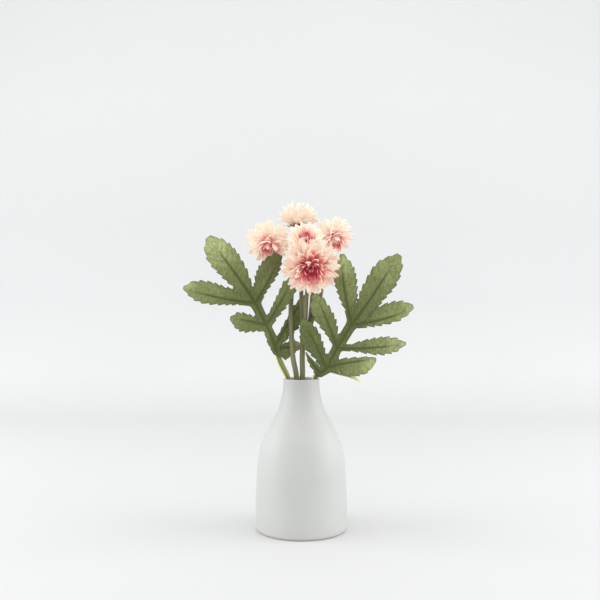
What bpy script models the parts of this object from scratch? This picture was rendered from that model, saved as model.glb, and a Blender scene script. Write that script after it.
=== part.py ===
"""A spray of five artificial chrysanthemums in a matte white bottle vase.

Metres, +Z up. The origin is at the centre of the vase's underside, and the
spray's front bloom faces -Y. Lengths below are in millimetres and are turned
into metres where a shape is made.
"""

import math
import random

import bmesh
import bpy
from mathutils import Vector

MM = 0.001
SEAT_GAP = 0.3

# Vase, as (radius, height) pairs down its outer side and up its inner side
VASE_SIDES = 36
VASE_HEIGHT = 123.5
VASE_OUTER = (
    (14.9, 122.6),
    (14.8, 119.0),
    (15.3, 113.5),
    (16.6, 107.0),
    (19.6, 97.5),
    (25.4, 86.5),
    (30.3, 77.0),
    (34.0, 66.0),
    (36.0, 53.0),
    (36.9, 38.0),
    (37.5, 20.0),
    (37.5, 8.0),
    (37.1, 1.6),
    (36.3, 0.0),
)
VASE_INNER = (
    (0.0, 4.3),
    (24.0, 4.3),
    (32.0, 8.0),
    (33.8, 38.0),
    (30.4, 66.0),
    (26.6, 77.0),
    (21.8, 86.5),
    (16.4, 97.5),
    (13.9, 107.0),
    (13.0, 113.5),
    (13.0, 122.6),
)
RIM_RADIUS = 13.95
RIM_HALF_WIDTH = 0.5
RIM_EDGE_DROP = 0.2
MERGE_DISTANCE = 0.00001
SHARP_ANGLE = 40

# Spray stem, routes as (x, y, z) points
TUBE_RESOLUTION = 2
POINTS_PER_SPAN = 3
MAIN_RADIUS = 2.3
ARM_RADIUS = 2.2
TWIG_RADIUS = 1.8
FORK = (-1.5, 0.0, 90.0)
MAIN_STEM = ((2.0, 0.5, 4.3 + SEAT_GAP), (1.2, 0.4, 40.0), FORK)
LEFT_ARM = (FORK, (-3.9, -1.0, 123.8), (-7.2, -1.0, 142.7), (-8.5, 0.0, 167.4), (-8.7, 2.0, 184.0))
RIGHT_ARM = (FORK, (0.8, 0.0, 123.8), (0.7, 0.0, 140.0), (1.2, 0.0, 158.0))
TWIGS = {
    "bloom_left": ((-8.7, 2.0, 180.0), (-7.5, 12.0, 212.0), (-11.5, 18.0, 225.0), (-21.0, 17.0, 239.0)),
    "bloom_top": ((1.2, 0.0, 154.0), (0.2, 3.0, 178.0), (-0.4, 8.0, 205.0), (-3.0, 13.5, 229.0)),
    "bloom_front": ((1.2, 0.0, 153.0), (3.4, -2.4, 174.0), (4.4, -4.5, 192.0), (6.6, -11.0, 209.0)),
    "bloom_middle": ((1.2, 0.0, 152.0), (7.0, 1.0, 172.0), (9.0, 2.5, 199.0), (6.4, 4.5, 218.5)),
    "bloom_right": (
        (1.2, 0.0, 151.0), (8.5, 0.0, 170.0), (15.6, 0.0, 191.0),
        (18.5, 11.0, 211.0), (21.5, 24.5, 232.0), (23.0, 23.5, 245.0),
    ),
}
TWIG_TAPER = 0.2
CUP_SIDES = 10
CUP_TOP_RADIUS = 4.4
CUP_FOOT_RADIUS = 1.7
CUP_HEIGHT = 5.0
TWIG_SINK = 1.0

# Blooms: heart is the core's centre, facing its axis, close_by how far shut in degrees
BLOOMS = {
    "bloom_front": dict(
        heart=(7.2, -27.0, 215.0), facing=(-0.01, -0.90, -0.43), radius=24.0, close_by=0, seed=11,
    ),
    "bloom_left": dict(
        heart=(-27.2, 4.0, 236.8), facing=(0.10, -0.66, -0.74), radius=20.0, close_by=0, seed=12,
    ),
    "bloom_top": dict(
        heart=(-2.8, 17.0, 252.8), facing=(0.12, 0.08, 0.98), radius=20.0, close_by=42, seed=43,
    ),
    "bloom_right": dict(
        heart=(26.8, 12.0, 242.2), facing=(0.20, -0.66, -0.72), radius=18.0, close_by=0, seed=14,
    ),
    "bloom_middle": dict(
        heart=(3.4, -7.0, 234.2), facing=(-0.03, -0.88, 0.47), radius=18.0, close_by=4, seed=15,
    ),
}
# Petal rings from the lowest up: count, rise in degrees, share of the radius
RINGS = ((15, -3, 1.00), (13, 17, 0.96), (11, 37, 0.86), (8, 56, 0.68), (5, 74, 0.46))
SMALL_BLOOM_RADIUS = 22.0
SMALL_BLOOM_FEWER = 3
FEWEST_PETALS = 5
TURN_SPREAD = 0.12
LENGTH_SPREAD = (0.94, 1.03)
RISE_SPREAD = 4
PETAL_WIDTH_SHARE = 0.27
PETAL_WIDEST_AT = 0.55
SHORTEST_WIDE_PETAL = 12.0
PETAL_THICKNESS = 0.9
PETAL_LIFT = 0.10
PETAL_CUP = 0.22
CORE_RADIUS = 5.6
CORE_HALF_HEIGHT = 3.4
CORE_SEGMENTS = 12
CORE_RINGS = 8
ROOT_RISE_SHARE = 0.4
ROOT_DROP_SHARE = 0.9
DOME_SHARE = 0.3
STEEPEST_PETAL = 80
PRESSED_STEP = 6
NEIGHBOUR_GAP = 0.4

# Leaves: middle rib routes, then lobes as base, tip and the teeth of each side
# A tooth is (share of the lobe's length, millimetres out from its rib)
LEAF_THICKNESS = 0.8
LEAF_RIB_RADIUS = 2.0
LEAF_RIB_END = 1.4
TOOTH_DEPTH = 1.5
TOOTH_DROP = 0.035
LOBE_ROOT_HALF_WIDTH = 2.4
LOBE_TIP_HALF_WIDTH = 0.5
LOBE_KEEL = 0.16
LEFT_RIB = ((-18.8, -4.2, 141.5), (-22.3, -4.0, 154.4), (-28.9, -5.0, 167.6), (-37.8, -6.0, 185.6))
RIGHT_RIB = ((14.8, -3.8, 126.6), (22.3, -4.1, 133.4), (29.2, -5.0, 148.8), (41.2, -6.0, 168.0))
LEFT_LOBES = (
    dict(base=(-37.8, -6.0, 185.6), tip=(-75.0, -20.0, 238.0), bow=3.0,
         left=((0.30, 7.4), (0.50, 9.8), (0.68, 11.6), (0.86, 9.4)),
         right=((0.32, 9.6), (0.49, 12.3), (0.66, 13.2), (0.84, 10.6))),
    dict(base=(-37.8, -6.0, 185.6), tip=(-97.0, -2.0, 198.0), bow=3.0,
         left=((0.30, 6.4), (0.50, 8.6), (0.68, 9.9), (0.86, 8.6)),
         right=((0.27, 6.6), (0.45, 8.4), (0.63, 10.2), (0.82, 9.2))),
    dict(base=(-28.9, -5.0, 167.6), tip=(-59.0, 4.0, 173.0), bow=1.5,
         left=((0.30, 7.6), (0.60, 10.0), (0.86, 6.4)),
         right=((0.30, 5.7), (0.58, 7.0), (0.85, 5.9))),
    dict(base=(-37.8, -6.0, 185.6), tip=(-16.0, -18.5, 226.0), bow=1.0,
         left=((0.25, 7.2), (0.45, 10.7), (0.64, 11.4), (0.84, 8.6)),
         right=((0.25, 4.6), (0.47, 6.0), (0.66, 6.8), (0.84, 5.4))),
    dict(base=(-28.9, -5.0, 167.6), tip=(-7.0, -15.0, 205.0), bow=1.0,
         left=((0.25, 3.2), (0.48, 4.2), (0.68, 5.0), (0.86, 6.0)),
         right=((0.25, 5.8), (0.48, 7.7), (0.68, 8.2), (0.86, 7.6))),
    dict(base=(-22.3, -4.0, 154.4), tip=(1.0, 10.5, 191.0), bow=-1.0,
         left=((0.28, 2.0), (0.50, 3.4), (0.70, 3.6), (0.88, 2.6)),
         right=((0.30, 4.6), (0.52, 6.0), (0.72, 5.6), (0.90, 3.8))),
    dict(base=(-21.6, -4.0, 151.0), tip=(-1.0, 7.5, 145.0), bow=-1.0,
         left=((0.30, 4.4), (0.60, 6.8), (0.84, 5.0)),
         right=((0.44, 6.8), (0.66, 9.2), (0.86, 5.6))),
    dict(base=(-20.8, -4.2, 146.5), tip=(-29.5, -5.0, 169.0), bow=0.0,
         left=((0.28, 4.6), (0.60, 4.0)), right=((0.30, 3.0), (0.62, 3.0))),
)
RIGHT_LOBES = (
    dict(base=(41.2, -6.0, 168.0), tip=(32.0, -13.5, 225.0), bow=2.0,
         left=((0.28, 5.6), (0.47, 8.2), (0.66, 10.0), (0.84, 7.0)),
         right=((0.28, 7.0), (0.46, 9.3), (0.64, 10.2), (0.82, 8.6))),
    dict(base=(41.2, -6.0, 168.0), tip=(78.0, -16.0, 225.0), bow=3.0,
         left=((0.28, 7.4), (0.47, 10.6), (0.66, 12.0), (0.85, 9.4)),
         right=((0.30, 8.2), (0.49, 10.8), (0.66, 12.8), (0.85, 9.8))),
    dict(base=(41.2, -6.0, 168.0), tip=(93.0, 4.0, 182.0), bow=2.0,
         left=((0.30, 7.2), (0.50, 9.4), (0.69, 9.8), (0.87, 7.6)),
         right=((0.26, 6.6), (0.46, 8.2), (0.66, 8.6), (0.86, 5.6))),
    dict(base=(29.2, -5.0, 148.8), tip=(87.0, 7.0, 152.0), bow=2.0,
         left=((0.30, 4.0), (0.50, 6.4), (0.69, 7.3), (0.87, 5.6)),
         right=((0.28, 4.9), (0.48, 7.8), (0.67, 9.2), (0.86, 7.2))),
    dict(base=(22.8, -4.0, 133.6), tip=(62.0, 5.0, 139.0), bow=1.5,
         left=((0.26, 6.8), (0.56, 5.6), (0.84, 4.3)),
         right=((0.34, 8.6), (0.60, 10.2), (0.84, 7.4))),
    dict(base=(29.2, -5.0, 148.8), tip=(11.0, -10.0, 193.0), bow=1.0,
         left=((0.28, 4.6), (0.47, 7.4), (0.66, 9.2), (0.85, 8.0)),
         right=((0.26, 6.6), (0.45, 8.7), (0.64, 8.2), (0.84, 6.4))),
    dict(base=(20.0, -4.0, 134.0), tip=(0.0, -11.0, 172.0), bow=1.0,
         left=((0.28, 6.6), (0.50, 9.4), (0.68, 9.0), (0.85, 5.6)),
         right=((0.26, 6.0), (0.45, 7.8), (0.64, 8.9), (0.84, 7.4))),
    dict(base=(15.4, -3.4, 127.6), tip=(4.0, -7.0, 146.0), bow=0.5,
         left=((0.30, 3.8), (0.56, 4.4), (0.80, 3.2)),
         right=((0.30, 3.8), (0.56, 3.2), (0.80, 2.0))),
    dict(base=(17.4, -3.9, 128.4), tip=(30.5, -5.0, 151.5), bow=0.0,
         left=((0.28, 3.6), (0.60, 3.4)), right=((0.30, 3.8), (0.62, 3.4))),
)

# Leaf stalks, from the stem inside the neck up to the back of each leaf
LEFT_STALK = (
    (-5.1, 0.0, 76.0), (-6.9, -1.0, 96.0), (-9.5, -2.2, 114.0), (-10.5, -2.4, 122.0),
    (-13.1, -3.0, 128.5), (-16.6, -2.0, 135.0), (-18.9, 0.4, 140.5), (-20.2, 0.5, 144.4),
)
LEFT_STALK_RADII = (1.7, 1.7, 1.7, 1.7, 2.0, 2.1, 1.9, 1.1)
RIGHT_STALK = (
    (3.6, 0.0, 76.0), (5.2, 0.0, 96.0), (9.2, 0.0, 114.0), (10.7, 0.0, 122.0),
    (12.9, 0.5, 126.5), (17.0, 0.5, 129.6), (21.0, 0.3, 133.6),
)
RIGHT_STALK_RADII = (1.7, 1.7, 1.7, 1.7, 1.9, 1.7, 1.1)
SPIKE = (
    (18.0, 0.0, 130.4), (25.0, 0.8, 128.6), (33.0, 2.4, 126.6), (41.7, 3.4, 124.8), (49.6, 3.4, 119.6),
)
SPIKE_RADII = (0.7, 0.7, 1.0, 1.8, 0.4)

COLOURS = {
    "vase": ((0.80, 0.80, 0.80), 0.55),
    "stem": ((0.22, 0.21, 0.12), 0.60),
    "leaf": ((0.13, 0.19, 0.06), 0.75),
    "stalk": ((0.42, 0.50, 0.10), 0.45),
    "bloom": ((0.86, 0.58, 0.50), 0.80),
}


def material_for(node, kind):
    colour, roughness = COLOURS[kind]
    material = bpy.data.materials.new(node)
    material.use_nodes = True
    shader = material.node_tree.nodes["Principled BSDF"]
    shader.inputs["Base Color"].default_value = (*colour, 1.0)
    shader.inputs["Roughness"].default_value = roughness
    shader.inputs["Metallic"].default_value = 0.0
    return material


def metres(point):
    return Vector(point) * MM


def link(name, mesh, collection):
    ob = bpy.data.objects.new(name, mesh)
    collection.objects.link(ob)
    return ob


def mesh_from(bm, name, collection):
    mesh = bpy.data.meshes.new(name)
    bm.to_mesh(mesh)
    bm.free()
    return link(name, mesh, collection)


def face_outwards(bm):
    if bm.calc_volume(signed=True) < 0.0:
        bmesh.ops.reverse_faces(bm, faces=bm.faces)


def evaluated_mesh(ob):
    graph = bpy.context.evaluated_depsgraph_get()
    return bpy.data.meshes.new_from_object(ob.evaluated_get(graph))


def smooth_route(points, per_span):
    """Points along a Catmull-Rom curve through the given ones."""
    pts = [Vector(p) for p in points]
    ends = [2 * pts[0] - pts[1]] + pts + [2 * pts[-1] - pts[-2]]
    route = []
    for i in range(1, len(ends) - 2):
        before, start, stop, after = ends[i - 1 : i + 3]
        for k in range(per_span):
            t = k / per_span
            route.append(
                0.5
                * (
                    2 * start
                    + (stop - before) * t
                    + (2 * before - 5 * start + 4 * stop - after) * t**2
                    + (3 * start - before - 3 * stop + after) * t**3
                )
            )
    return route + [pts[-1]]


def tube(name, points, radii, collection):
    """A closed round tube along a smooth route, as a mesh."""
    route = smooth_route(points, POINTS_PER_SPAN)
    curve = bpy.data.curves.new(name, "CURVE")
    curve.dimensions = "3D"
    curve.bevel_depth = MM
    curve.bevel_resolution = TUBE_RESOLUTION
    curve.render_resolution_u = 0
    curve.use_fill_caps = True
    spline = curve.splines.new("POLY")
    spline.points.add(len(route) - 1)
    for i, (point, place) in enumerate(zip(spline.points, route)):
        share = i / (len(route) - 1) * (len(radii) - 1)
        low = min(int(share), len(radii) - 2)
        point.co = (*metres(place), 1.0)
        point.radius = radii[low] + (radii[low + 1] - radii[low]) * (share - low)
    guide = link(name + "_curve", curve, collection)
    bpy.context.view_layer.update()
    mesh = evaluated_mesh(guide)
    bpy.data.objects.remove(guide)
    bm = bmesh.new()
    bm.from_mesh(mesh)
    bmesh.ops.remove_doubles(bm, verts=bm.verts, dist=MERGE_DISTANCE)
    bm.to_mesh(mesh)
    bm.free()
    return link(name, mesh, collection)


def keep_largest_shell(mesh):
    """Fill sealed hollows and drop scraps that a union leaves."""
    bm = bmesh.new()
    bm.from_mesh(mesh)
    left = set(bm.faces)
    shells = []
    while left:
        shell, front = [], [left.pop()]
        while front:
            face = front.pop()
            shell.append(face)
            near = {other for edge in face.edges for other in edge.link_faces} & left
            left -= near
            front += near
        shells.append(shell)
    shells.sort(key=len)
    for shell in shells[:-1]:
        bmesh.ops.delete(bm, geom=shell, context="FACES")
    bm.to_mesh(mesh)
    bm.free()


def fuse(ob, pieces, collection):
    """Join the pieces to ob in one Boolean union, then remove them."""
    bpy.context.view_layer.update()
    union = ob.modifiers.new("fused", "BOOLEAN")
    union.operation = "UNION"
    union.operand_type = "COLLECTION"
    union.collection = pieces
    union.solver = "MANIFOLD"
    bpy.context.view_layer.update()
    mesh = evaluated_mesh(ob)
    keep_largest_shell(mesh)
    old = ob.name
    bpy.data.objects.remove(ob)
    for piece in list(pieces.objects):
        bpy.data.objects.remove(piece)
    bpy.data.collections.remove(pieces)
    fused = link(old, mesh, collection)
    fused.name = old
    return fused


def finish(ob, kind):
    ob.data.materials.clear()
    ob.data.materials.append(material_for(ob.name, kind))
    ob.data.shade_smooth()
    ob.data.set_sharp_from_angle(angle=math.radians(SHARP_ANGLE))


def helper_collection(name):
    collection = bpy.data.collections.new(name)
    bpy.context.scene.collection.children.link(collection)
    return collection


def make_vase(parts):
    rim = (
        (RIM_RADIUS - RIM_HALF_WIDTH, VASE_HEIGHT - RIM_EDGE_DROP),
        (RIM_RADIUS, VASE_HEIGHT),
        (RIM_RADIUS + RIM_HALF_WIDTH, VASE_HEIGHT - RIM_EDGE_DROP),
    )
    profile = VASE_INNER + rim + VASE_OUTER + ((0.0, 0.0),)
    bm = bmesh.new()
    verts = [bm.verts.new((radius * MM, 0.0, height * MM)) for radius, height in profile]
    for first, second in zip(verts, verts[1:]):
        bm.edges.new((first, second))
    vase = mesh_from(bm, "vase", parts)
    screw = vase.modifiers.new("turned", "SCREW")
    screw.steps = screw.render_steps = VASE_SIDES
    screw.use_merge_vertices = True
    screw.merge_threshold = MERGE_DISTANCE
    screw.use_normal_calculate = True
    finish(vase, "vase")


def make_stem(parts):
    """The main stem, its two arms, the five flower stems and their cups."""
    pieces = helper_collection("stem_pieces")
    tube("left_arm", LEFT_ARM, (ARM_RADIUS, ARM_RADIUS - TWIG_TAPER), pieces)
    tube("right_arm", RIGHT_ARM, (ARM_RADIUS, ARM_RADIUS), pieces)
    for node, route in TWIGS.items():
        heart = Vector(BLOOMS[node]["heart"])
        facing = Vector(BLOOMS[node]["facing"]).normalized()
        cup_top = heart - facing * (CORE_HALF_HEIGHT + SEAT_GAP)
        foot = cup_top - facing * (CUP_HEIGHT - TWIG_SINK)
        tube(node + "_twig", (*route, foot), (TWIG_RADIUS, TWIG_RADIUS - TWIG_TAPER), pieces)
        bm = bmesh.new()
        bmesh.ops.create_cone(
            bm, cap_ends=True, segments=CUP_SIDES,
            radius1=CUP_FOOT_RADIUS * MM, radius2=CUP_TOP_RADIUS * MM, depth=CUP_HEIGHT * MM,
        )
        cup = mesh_from(bm, node + "_cup", pieces)
        cup.rotation_euler = facing.to_track_quat("Z", "Y").to_euler()
        cup.location = metres(cup_top - facing * CUP_HEIGHT / 2)
    stem = tube("stem", MAIN_STEM, (MAIN_RADIUS, MAIN_RADIUS), parts)
    finish(fuse(stem, pieces, parts), "stem")


def bloom_frame(bloom):
    facing = Vector(bloom["facing"]).normalized()
    side = facing.cross(Vector((0, 0, 1)))
    if side.length < 0.3:
        side = facing.cross(Vector((0, 1, 0)))
    side.normalize()
    return facing, side, facing.cross(side)


def petal_points(rows, bloom, turn, rise, length):
    """Where each (share, side, face) of a petal lies, in millimetres."""
    facing, side, up = bloom_frame(bloom)
    outward = side * math.cos(turn) + up * math.sin(turn)
    across = facing.cross(outward)
    run = outward * math.cos(rise) + facing * math.sin(rise)
    lift = facing * math.cos(rise) - outward * math.sin(rise)
    width = max(length, SHORTEST_WIDE_PETAL) * PETAL_WIDTH_SHARE
    shut = math.sin(math.radians(bloom["close_by"]))
    rise_share = ROOT_RISE_SHARE * math.sin(rise) - ROOT_DROP_SHARE * shut
    root = Vector(bloom["heart"]) + facing * CORE_HALF_HEIGHT * rise_share
    points = []
    for share, edge, face in rows:
        half = width / 2 * max(0.0, 1.0 - 4.0 * (share - PETAL_WIDEST_AT) ** 2)
        height = PETAL_LIFT * length * share**2 + PETAL_CUP * half * abs(edge)
        height += face * PETAL_THICKNESS / 2
        points.append(root + run * length * share + across * half * edge + lift * height)
    return points


def neighbour_planes(node):
    """Planes half way to each other bloom, as (point, direction away)."""
    middles = {
        name: Vector(bloom["heart"]) + bloom_frame(bloom)[0] * bloom["radius"] * DOME_SHARE
        for name, bloom in BLOOMS.items()
    }
    own, middle = BLOOMS[node], middles[node]
    planes = []
    for other, bloom in BLOOMS.items():
        if other != node:
            away = middles[other] - middle
            share = own["radius"] / (own["radius"] + bloom["radius"])
            direction = away.normalized()
            planes.append((middle + away * share - direction * NEIGHBOUR_GAP, direction))
    return planes


def crosses(places, planes):
    return any((place - at).dot(away) > 0 for place in places for at, away in planes)


def make_bloom(node, parts):
    """Petals in rings on a flat round core, pressed clear of the other blooms."""
    bloom = BLOOMS[node]
    draw = random.Random(bloom["seed"])
    facing = bloom_frame(bloom)[0]
    planes = neighbour_planes(node)
    pieces = helper_collection(node + "_petals")
    fewer = SMALL_BLOOM_FEWER if bloom["radius"] < SMALL_BLOOM_RADIUS else 0
    for ring, (count, rise, share) in enumerate(RINGS):
        count = max(FEWEST_PETALS, count - fewer)
        for k in range(count):
            turn = math.tau * (k + 0.5 * (ring % 2) + draw.uniform(-TURN_SPREAD, TURN_SPREAD)) / count
            length = bloom["radius"] * share * draw.uniform(*LENGTH_SPREAD)
            angle = rise + bloom["close_by"] * (1 - ring / len(RINGS))
            angle += draw.uniform(-RISE_SPREAD, RISE_SPREAD)
            bm = bmesh.new()
            bmesh.ops.create_uvsphere(bm, u_segments=4, v_segments=4, radius=1.0)
            rows = [((v.co.z + 1) / 2, round(v.co.x), round(v.co.y)) for v in bm.verts]
            places = petal_points(rows, bloom, turn, math.radians(angle), length)
            while angle < STEEPEST_PETAL and crosses(places, planes):
                angle += PRESSED_STEP
                places = petal_points(rows, bloom, turn, math.radians(angle), length)
            for vert, place in zip(bm.verts, places):
                vert.co = metres(place)
            face_outwards(bm)
            mesh_from(bm, f"{node}_petal_{ring}_{k}", pieces)
    bm = bmesh.new()
    bmesh.ops.create_uvsphere(bm, u_segments=CORE_SEGMENTS, v_segments=CORE_RINGS, radius=MM)
    bmesh.ops.scale(bm, vec=(CORE_RADIUS, CORE_RADIUS, CORE_HALF_HEIGHT), verts=bm.verts)
    bmesh.ops.rotate(bm, matrix=facing.to_track_quat("Z", "Y").to_matrix(), verts=bm.verts)
    bmesh.ops.translate(bm, vec=metres(bloom["heart"]), verts=bm.verts)
    core = mesh_from(bm, node, parts)
    finish(fuse(core, pieces, parts), "bloom")


def lobe_rows(lobe):
    """Rows of (share, half width) for the left and the right side."""
    sides = []
    for teeth in (lobe["left"], lobe["right"]):
        rows = [(0.0, LOBE_ROOT_HALF_WIDTH)]
        for share, out in teeth:
            rows += [(share, out), (share + TOOTH_DROP, out - TOOTH_DEPTH)]
        sides.append(rows + [(1.0, LOBE_TIP_HALF_WIDTH)])
    return list(zip(*sides))


def make_lobe(name, lobe, collection):
    """A toothed blade, folded a little along its rib."""
    base, tip = Vector(lobe["base"]), Vector(lobe["tip"])
    along = tip - base
    towards_back = Vector((0, 1, 0))
    right = along.cross(towards_back).normalized() * -1
    normal = along.cross(right).normalized()
    if normal.y > 0:
        normal.negate()
    rows = lobe_rows(lobe)
    bm = bmesh.new()
    bmesh.ops.create_grid(bm, x_segments=2, y_segments=len(rows) - 1, size=1.0)
    for vert in bm.verts:
        column = round(vert.co.x)
        row = round((vert.co.y + 1) / 2 * (len(rows) - 1))
        (left_share, left_out), (right_share, right_out) = rows[row]
        share, out = {
            -1: (left_share, -left_out),
            0: ((left_share + right_share) / 2, 0.0),
            1: (right_share, right_out),
        }[column]
        height = lobe["bow"] * 4 * share * (1 - share) - LOBE_KEEL * abs(out)
        vert.co = metres(base + along * share + right * out + normal * height)
    bmesh.ops.triangulate(bm, faces=bm.faces)
    blade = mesh_from(bm, name, collection)
    solidify = blade.modifiers.new("thickness", "SOLIDIFY")
    solidify.thickness = LEAF_THICKNESS * MM
    solidify.offset = 0.0
    bpy.context.view_layer.update()
    mesh = evaluated_mesh(blade)
    bpy.data.objects.remove(blade)
    bm = bmesh.new()
    bm.from_mesh(mesh)
    face_outwards(bm)
    bm.to_mesh(mesh)
    bm.free()
    link(name, mesh, collection)


def make_leaf(node, rib, lobes, parts):
    pieces = helper_collection(node + "_lobes")
    for k, lobe in enumerate(lobes):
        make_lobe(f"{node}_lobe_{k}", lobe, pieces)
    middle = tube(node, rib, (LEAF_RIB_RADIUS, LEAF_RIB_RADIUS, LEAF_RIB_END), parts)
    finish(fuse(middle, pieces, parts), "leaf")


def make_stalks(parts):
    finish(tube("leaf_stalk_left", LEFT_STALK, LEFT_STALK_RADII, parts), "stalk")
    pieces = helper_collection("spike_pieces")
    tube("spike", SPIKE, SPIKE_RADII, pieces)
    stalk = tube("leaf_stalk_right", RIGHT_STALK, RIGHT_STALK_RADII, parts)
    finish(fuse(stalk, pieces, parts), "stalk")


def main():
    for ob in list(bpy.data.objects):
        bpy.data.objects.remove(ob)
    parts = helper_collection("chrysanthemum_in_vase")
    make_vase(parts)
    make_stem(parts)
    make_stalks(parts)
    make_leaf("leaf_left", LEFT_RIB, LEFT_LOBES, parts)
    make_leaf("leaf_right", RIGHT_RIB, RIGHT_LOBES, parts)
    for node in BLOOMS:
        make_bloom(node, parts)


main()
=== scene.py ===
"""Looks of a spray of five artificial chrysanthemums in a matte white vase.

Lengths are in millimetres and are turned into metres where a mesh is made. Each
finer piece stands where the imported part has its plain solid.
"""

import random
from math import cos, exp, pi, radians, remainder, sin, tau

import bpy
import numpy as np
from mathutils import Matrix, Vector


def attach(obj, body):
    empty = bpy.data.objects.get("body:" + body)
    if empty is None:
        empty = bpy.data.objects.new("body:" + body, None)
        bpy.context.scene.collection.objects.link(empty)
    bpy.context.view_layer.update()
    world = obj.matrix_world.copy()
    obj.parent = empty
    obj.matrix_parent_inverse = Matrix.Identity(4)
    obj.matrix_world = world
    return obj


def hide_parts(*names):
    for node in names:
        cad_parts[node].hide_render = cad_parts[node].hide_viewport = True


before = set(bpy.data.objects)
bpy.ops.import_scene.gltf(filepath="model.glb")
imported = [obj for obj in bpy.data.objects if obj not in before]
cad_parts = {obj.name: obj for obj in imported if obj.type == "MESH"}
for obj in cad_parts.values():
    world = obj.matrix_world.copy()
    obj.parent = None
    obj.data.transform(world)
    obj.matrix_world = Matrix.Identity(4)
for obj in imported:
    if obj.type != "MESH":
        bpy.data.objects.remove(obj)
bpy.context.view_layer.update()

MM = 0.001
SHARP_ANGLE = 50
BLACK = "#000000"
WHITE = "#ffffff"

# Camera, level and in front of the vase; sensor in millimetres, nearest distance in metres
CAMERA_PLACE = (-1.1, -667, 188)
CAMERA_LENS = 48.6
CAMERA_SENSOR = 36.0
CAMERA_CLIP = 0.01

# Lights in metres: name, place, target, size and power, with an even pale world round them
LIGHTS = (
    ("left_box", (-1.1, -0.05, 0.42), (0, 0, 0.12), (1, 0.7), 6.6),
    ("right_box", (1.1, -0.05, 0.42), (0, 0, 0.12), (1, 0.7), 6.6),
    ("front_box", (0, -1.4, 0.75), (0, 0, 0.2), (1.2, 0.8), 1.2),
    ("top_box", (0, -0.1, 1.3), (0, 0, 0.2), (1.4, 1), 4.6),
)
WORLD_COLOUR = "#fafbfc"
WORLD_STRENGTH = 0.89

# Paper sweep behind the vase: floor, bend and wall, and the greys of its painted light and shade over the
# height in metres
STAGE_FRONT = -1600.0
STAGE_BEND_FROM = 620.0
STAGE_BEND = 340.0
STAGE_BEND_ROWS = 24
STAGE_TOP = 2600.0
STAGE_HALF_WIDTH = 2200.0
PAPER_SHADE_BY_HEIGHT = ((0, "#d7d8d7"), (0.05, "#dddedd"), (0.19, "#cfd0d1"), (0.59, "#d8d9d9"))

# Vase, as (radius, height) pairs: down its outer side, under it, up its inner side, over its rim
VASE_SIDES = 144
VASE_OUTER = (
    (14.85, 122.6), (14.8, 119), (15.3, 113.5), (16.6, 107), (19.6, 97.5), (25.4, 86.5),
    (30.3, 77), (34, 66), (36, 53), (36.9, 38), (37.5, 20), (37.5, 8),
    (37.4, 3.4), (37.1, 1.6), (36.3, 0.5),
)
VASE_FOOT = ((35.6, 0), (33, 0), (32.4, 0.7), (0, 0.7))
VASE_INNER = (
    (0, 4.3), (24, 4.3), (32, 8), (33.8, 38), (30.4, 66), (26.6, 77),
    (21.8, 86.5), (16.4, 97.5), (13.9, 107), (13.1, 113.5), (13, 122.6),
)
VASE_RIM = ((13.25, 123.2), (13.9, 123.5), (14.55, 123.2))

# Rows without glaze above the foot, the noise from which a speck shows, and the heights
# in metres between which painted shade darkens the neck
BARE_ROWS = 2
SPECK_LIMIT = 0.74
NECK_SHADE_FROM = 0.08
NECK_SHADE_TO = 0.116

# Flower stems, routes as (x, y, z) points
STEM_SIDES = 20
STEM_RIDGES = 5
STEM_RIDGE = 0.03
STEM_TAPER = 0.2
MAIN_RADIUS = 2.3
ARM_RADIUS = 2.2
TWIG_RADIUS = 1.8
FORK = (-1.5, 0, 90)
MAIN_STEM = ((2, 0.5, 4.6), (1.2, 0.4, 40), FORK)
LEFT_ARM = (FORK, (-3.9, -1, 123.8), (-7.2, -1, 142.7), (-8.5, 0, 167.4), (-8.7, 2, 184))
RIGHT_ARM = (FORK, (0.8, 0, 123.8), (0.7, 0, 140), (1.2, 0, 158))

# Green cup under each bloom, as (radius, height) pairs, and the sepals on it
CUP_PROFILE = ((1.6, 0), (2.2, 0.9), (3.5, 2.4), (4.3, 4.2), (4.5, 5), (0, 5))
CUP_HEIGHT = 5.0
CUP_GAP = 0.3
CUP_GREEN = 0.9
TWIG_IN_CUP = 1.0
SMALLEST_RING = 0.05
SEPALS = 8
SEPAL = dict(length=8, width=3.4, cup=0.5, curl=0.25, twist=0)
SEPAL_RISE = 18
SEPAL_DROP = 2.2
SEPAL_OUT = 2.0
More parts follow.
